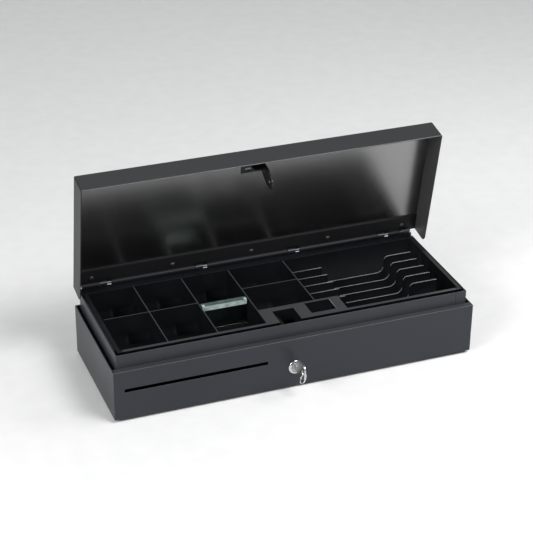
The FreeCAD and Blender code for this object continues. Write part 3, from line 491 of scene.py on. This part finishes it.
def lid_sheet():
    """The lid folded from one sheet: a coat outside, a glossier lining inside with paler painted light on the
    skirts, and a painted highlight along the front rim.
    """
    rounding, highlight_band = 0.3, 8.0
    coat, top_lining, skirt_painted_light, rim_highlight = range(4)
    bm, lining = folded_skin(0), folded_skin(SHEET)
    boundary = [edge for edge in bm.edges if edge.is_boundary]
    inner = [bm.verts.new(vert.co) for vert in lining.verts]
    widest = max(face.calc_area() for face in lining.faces)
    for face in lining.faces:
        made = bm.faces.new([inner[vert.index] for vert in reversed(face.verts)])
        # The skirts' inner faces take the paler paint, painted light.
        made.material_index = top_lining if face.calc_area() > 0.9 * widest else skirt_painted_light
    lining.free()
    rim = []
    for edge in boundary:
        near, far = edge.verts
        rim.append(bm.faces.new((near, far, inner[far.index], inner[near.index])))
    bmesh.ops.recalc_face_normals(bm, faces=bm.faces)
    corners = [
        edge
        for edge in {edge for face in rim for edge in face.edges}
        if edge.calc_face_angle() > SHARP_ANGLE
    ]
    beveled = bmesh.ops.bevel(
        bm, geom=corners, offset=rounding * MM, segments=2, profile=0.5, affect="EDGES"
    )
    # The front rim's faces and rounded edges within this band take a pale paint, a painted highlight.
    band_foot = max(vert.co.z for vert in bm.verts) - highlight_band * MM
    for face in set(beveled["faces"]) | {face for face in rim if face.is_valid}:
        centre = face.calc_center_median()
        on_front = centre.z > band_foot and abs(centre.x) < (CASE_WIDTH / 2 - LID_FOLD) * MM
        face.material_index = rim_highlight if on_front else coat
    make_piece(
        "lid_sheet",
        bm,
        "lid",
        "lid_paint",
        ["lid_shell"],
        [MATERIALS["lid_paint"], LINING, SKIRT_PAINTED_LIGHT, RIM_PAINTED_HIGHLIGHT],
        weigh=True,
    )


def lid_hem():
    """The sheet turned under along the hinge edge, where the leaf is riveted."""
    side_gap, front_step, back_step, roof_gap = 0.1, 0.6, 0.3, 0.01
    half = CASE_WIDTH / 2 - SHEET - side_gap
    roof = CLOSED_HEIGHT - SHEET
    front, back = LEAF_FRONT - front_step, CASE_DEPTH / 2 - back_step
    bm = bmesh.new()
    box(bm, (-half, front, roof - SHEET), (half, back, roof - roof_gap))
    open_lid(bm)
    make_piece("lid_hem", bm, "lid", "lid_paint", materials=[LEAF], edge=0.5, segments=3)


def rivet_heads():
    """Five low domes with a thin flange, peened through the leaf."""
    count, pitch, row = 5, 104.0, 72.0
    flange, dome_radius, dome_foot, dome_height = 2.8, 2.45, 0.35, 1.0
    face = CLOSED_HEIGHT - 3 * SHEET
    profile = [(0, 0), (flange, 0), (flange - 0.05, -0.3)]
    for degrees in range(0, 90, 15):
        angle = math.radians(degrees)
        profile.append((dome_radius * math.cos(angle), -dome_foot - dome_height * math.sin(angle)))
    profile.append((0, -dome_foot - dome_height))
    bm = bmesh.new()
    for k in range(count):
        lathe(bm, profile, (pitch * (k - (count - 1) / 2), row, face), (0, 0, 1), 24)
    open_lid(bm)
    make_piece("rivet_heads", bm, "lid", "zinc", ["lid_rivets"], [RIVET])


# ------------------------------------------------------------ lock and key


def lock_body():
    """Barrel with a chamfered bezel, a sunk ring round the plug and a fine thread."""
    bore, bezel, length = 5.6, 9.0, 14.0
    crest, root, pitch, turns = 7.95, 7.45, 1.1, 12
    profile = [(bore, length), (bore, -2.4), (5.9, -2.8), (6.5, -3.0), (8.6, -1.9)]
    profile += [(bezel, -1.4), (bezel, 0.0)]
    for k in range(turns):
        profile += [(crest, 0.4 + k * pitch), (root, 0.9 + k * pitch)]
    profile.append((crest, length))
    bm = bmesh.new()
    lathe(bm, profile, (LOCK_X, FACE_Y, LOCK_Z), (0, 1, 0), 48, closed=True)
    make_piece("lock_body", bm, "case", "lock_chrome", ["lock_barrel"], edge=0.15)


def key_blank():
    """Rounded bow with a ring hole, and a blade with cuts along its lower edge."""
    front, back, bottom, top, corner = -114.0, -92.0, 23.5, 42.5, 5.0
    blade_top, blade_low, tip = LOCK_Z + 3.3, LOCK_Z - 3.3, -71.5
    first_cut, cut_pitch, cut_half, cut_depths = -83.5, 3.0, 0.9, (1.6, 0.8, 1.9, 1.2)
    hole_radius, thickness = 3.0, 2.0
    outline = [(back, blade_top)]
    outline += arc((back - corner, top - corner), corner, 0, 90, 6)
    outline += arc((front + corner, top - corner), corner, 90, 180, 6)
    outline += arc((front + corner, bottom + corner), corner, 180, 270, 6)
    outline += [(back - 3.2, bottom), (back - 1.9, blade_low)]
    for k, depth in enumerate(cut_depths):
        y = first_cut + cut_pitch * k
        outline += [(y - cut_half, blade_low), (y, blade_low + depth), (y + cut_half, blade_low)]
    outline += [(tip - 1.6, blade_low), (tip, blade_low + 2.2)]
    outline += [(tip, blade_top - 1.2), (tip - 1.0, blade_top)]
    hole = arc(RING_HOLE, hole_radius, 0, 345, 23)
    bm = bmesh.new()
    plate(bm, [outline, hole], LOCK_X - thickness / 2, thickness)
    make_piece("key_blank", bm, "key", "key_nickel", ["key"], edge=0.3)


def split_ring():
    """Key ring of two close turns of wire, through the key's hole."""
    radius, wire, turns, turn_pitch, steps = 6.3, 0.42, 1.9, 0.5, 96
    drop, first_angle, heading = 1.5, math.radians(200), math.radians(35)
    around = Matrix.Rotation(heading, 3, "Z") @ Matrix.Rotation(math.radians(-90), 3, "X")
    middle = mm(LOCK_X, RING_HOLE[0], RING_HOLE[1] - radius - drop)
    points = []
    for k in range(steps + 1):
        angle = first_angle + 2 * math.pi * turns * k / steps
        lift = (k / steps - 0.5) * turns * turn_pitch
        points.append(middle + around @ mm(radius * math.cos(angle), radius * math.sin(angle), lift))
    bm = bmesh.new()
    tube(bm, points, wire)
    make_piece("split_ring", bm, "key_ring", "key_nickel", ["key_ring"])


# ------------------------------------------------------------ tray fittings, feet and socket


def rounded_sheets():
    """The folded and pressed sheets, with the small radius that a fold or a coat of powder leaves."""
    for node, width in (
        ("base_pan", 0.45),
        ("rear_panel", 0.35),
        ("inner_front_wall", 0.5),
        ("inner_side_wall_left", 0.5),
        ("inner_side_wall_right", 0.5),
        ("striker_plate", 0.3),
        ("latch_striker", 0.3),
        ("latch_bracket", 0.3),
    ):
        rounded_copy(node + "_sheet", node, width)
    below_ledge, fold_foot = 60, 63
    ledge = [
        # The ledge's flat top takes the paler rim paint: painted light that lifts the shade on the ledge.
        (
            MATERIALS["rim_paint"],
            lambda normal, at, rounded: not rounded and at.z > below_ledge and normal.z > 0.9,
        ),
        # The front panel's rounded top fold takes a painted highlight.
        (FOLD_PAINTED_HIGHLIGHT, lambda normal, at, rounded: rounded and at.z > fold_foot and normal.y < -0.1),
    ]
    rounded_copy("front_panel_sheet", "front_panel", 0.6, finish=ledge)
    rounded_copy("hinge_leaf", "lid_hinge_leaf", 0.3, LEAF)


def tray_moulding():
    """The tray, with painted light on its top faces and a painted highlight on the rounded edges of its note
    fins.
    """
    left, right, front, back = 40, 212, -61, 71
    fin_foot, below_top = 52, 80

    def on_fin(at):
        return left < at.x < right and front < at.y < back and at.z > fin_foot

    finish = [
        # Flat top faces take painted light.
        (TRAY_TOP_PAINTED_LIGHT, lambda normal, at, rounded: normal.z > 0.9 and at.z > below_top),
        # Rounded upward edges of the note fins take a painted highlight.
        (TRAY_EDGE_PAINTED_HIGHLIGHT, lambda normal, at, rounded: rounded and normal.z > 0.2 and on_fin(at)),
    ]
    rounded_copy("tray_moulding", "money_tray", 0.6, finish=finish)


def coin_divider():
    """Clear loose divider: a web under a channel with a milky front lip and two end posts."""
    left, right = -94.5, -37.6
    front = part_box("clear_coin_divider")[0][1] / MM
    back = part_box("clear_coin_divider")[1][1] / MM
    web, top, floor = (front + back) / 2, 82.3, 48.2
    front_lip, back_lip, lip_wall, roof, web_half = 6.2, 4.4, 1.6, 1.8, 0.9
    post_width, post_depth, post_height, post_gap = 3.6, 4.0, 0.8, 0.02
    outline = [
        (front, top),
        (front, top - front_lip),
        (front + lip_wall, top - front_lip),
        (front + lip_wall, top - roof),
        (web - web_half, top - roof),
        (web - web_half, floor),
        (web + web_half, floor),
        (web + web_half, top - roof),
        (back - lip_wall, top - roof),
        (back - lip_wall, top - back_lip),
        (back, top - back_lip),
        (back, top),
    ]
    bm = bmesh.new()
    plate(bm, [outline], left, right - left)
    for low, high in ((left, left + post_width), (right - post_width, right)):
        box(bm, (low, front, top + post_gap), (high, front + post_depth, top + post_height))
    clear, frosted, milky = range(3)
    for face in bm.faces:
        centre = face.calc_center_median() / MM
        on_lip = centre.y < front + 0.1 or centre.y > back - 0.1
        if on_lip or centre.z > top + post_gap / 2:
            face.material_index = frosted
        elif centre.z > top - 0.05:
            face.material_index = milky
        else:
            face.material_index = clear
    make_piece(
        "coin_divider",
        bm,
        "case",
        "clear_plastic",
        ["clear_coin_divider"],
        [MATERIALS["clear_plastic"], FROSTED, MILKY],
        edge=0.3,
    )


def rubber_feet():
    """Four turned rubber feet with a sunk middle and a stem through the pan."""
    profile = [
        (0, -2.4), (2.6, -2.4), (3.2, -4.0), (6.9, -4.0), (7.7, -3.4), (8.0, -0.6), (7.7, 0.0),
        (2.5, 0.0), (2.5, 1.25), (3.4, 1.3), (3.3, 1.9), (2.1, 2.7), (0, 2.7),
    ]
    for side, x in (("left", -FOOT_X), ("right", FOOT_X)):
        for end, y in (("front", -FOOT_Y), ("rear", FOOT_Y)):
            bm = bmesh.new()
            lathe(bm, profile, (x, y, 0), (0, 0, 1), 40)
            make_piece(f"rubber_foot_{end}_{side}", bm, "case", "rubber", [f"foot_{end}_{side}"], edge=0.2)


def socket_contacts():
    """Six spring contacts in the rear socket's mouth."""
    count, first, pitch, half = 6, 6.0, 1.6, 0.25
    front, back, low, high = 73.4, 81.0, 15.2, 15.7
    bm = bmesh.new()
    for k in range(count):
        x = first + pitch * k
        box(bm, (x - half, front, low), (x + half, back, high))
    make_piece("socket_contacts", bm, "case", "bare_steel", edge=0.1)


lid_sheet()
lid_hem()
rivet_heads()
lock_body()
key_blank()
split_ring()
rounded_sheets()
tray_moulding()
coin_divider()
rubber_feet()
socket_contacts()

# ------------------------------------------------------------ stage, light and camera


def studio_floor():
    """Pale floor that curves up far behind the drawer, in metres."""
    level, front, bend, radius, top, half_width, steps = -0.004, -2.6, 2.2, 0.8, 3.4, 3.6, 12
    profile = [(front, level), (bend, level)]
    for k in range(1, steps + 1):
        angle = math.radians(90 * k / steps)
        profile.append((bend + radius * math.sin(angle), level + radius * (1 - math.cos(angle))))
    profile.append((bend + radius, top))
    bm = bmesh.new()
    rows = []
    for y, z in profile:
        rows.append([bm.verts.new((x, y, z)) for x in (-half_width, half_width)])
    for near, far in zip(rows, rows[1:]):
        bm.faces.new((near[0], near[1], far[1], far[0]))
    mesh = bpy.data.meshes.new("studio_floor")
    bm.to_mesh(mesh)
    bm.free()
    floor = bpy.data.objects.new("studio_floor", mesh)
    bpy.context.collection.objects.link(floor)
    nodes = Nodes("studio_paper")
    grain = nodes.noise(40.0, detail=4.0)
    nodes.colour(nodes.ramp(grain, 0, 1), (0.70, 0.70, 0.695), (0.73, 0.73, 0.725))
    nodes.shader.inputs["Roughness"].default_value = 0.8
    mesh.materials.append(nodes.material)
    for polygon in mesh.polygons:
        polygon.use_smooth = True


def area_light(name, place, target, size, power):
    """A soft rectangular white light aimed at a point, in metres and watts."""
    light = bpy.data.lights.new(name, "AREA")
    light.shape = "RECTANGLE"
    light.size, light.size_y = size
    light.energy = power
    lamp = bpy.data.objects.new(name, light)
    bpy.context.collection.objects.link(lamp)
    lamp.location = place
    lamp.rotation_euler = (Vector(target) - Vector(place)).to_track_quat("-Z", "Y").to_euler()


def studio_camera():
    """Long lens from the front left and above, with a slight roll."""
    place = mm(-650.8, -1645.6, 1089.9)
    azimuth, elevation, roll = (math.radians(a) for a in (-21.24, 28.76, 0.65))
    level = math.cos(elevation)
    back = Vector((math.sin(azimuth) * level, -math.cos(azimuth) * level, math.sin(elevation)))
    right = (-back).cross(Vector((0, 0, 1))).normalized()
    up = right.cross(-back)
    turned_right = right * math.cos(roll) + up * math.sin(roll)
    turned_up = up * math.cos(roll) - right * math.sin(roll)
    data = bpy.data.cameras.new("camera")
    data.sensor_width = 36.0
    data.lens = 112.49
    data.clip_end = 50.0
    camera = bpy.data.objects.new("camera", data)
    bpy.context.collection.objects.link(camera)
    axes = Matrix((turned_right, turned_up, back)).transposed().to_4x4()
    camera.matrix_world = Matrix.Translation(place) @ axes
    bpy.context.scene.camera = camera


studio_floor()
# Large soft lamps in front, a faint one behind, and a small one for the floor that the lid mirrors.
area_light("key_left", (-1.9, -0.9, 1.3), (0, 0, 0.1), (1.2, 1.0), 42)
area_light("top_front", (0.75, -1.15, 2.0), (0, 0, 0.1), (1.0, 0.8), 40)
area_light("top_rear", (0.5, 1.45, 1.9), (0, 0, 0.1), (1.6, 1.0), 4)
area_light("floor_right", (0.85, -0.30, 0.75), (0.50, -0.25, 0), (0.5, 0.4), 4.5)
studio_camera()

world = bpy.data.worlds.new("studio")
bpy.context.scene.world = world
world.use_nodes = True
sky = world.node_tree.nodes["Background"].inputs
sky["Color"].default_value = (0.95, 0.97, 1.0, 1)
sky["Strength"].default_value = 0.28
bpy.context.scene.view_settings.view_transform = "Standard"
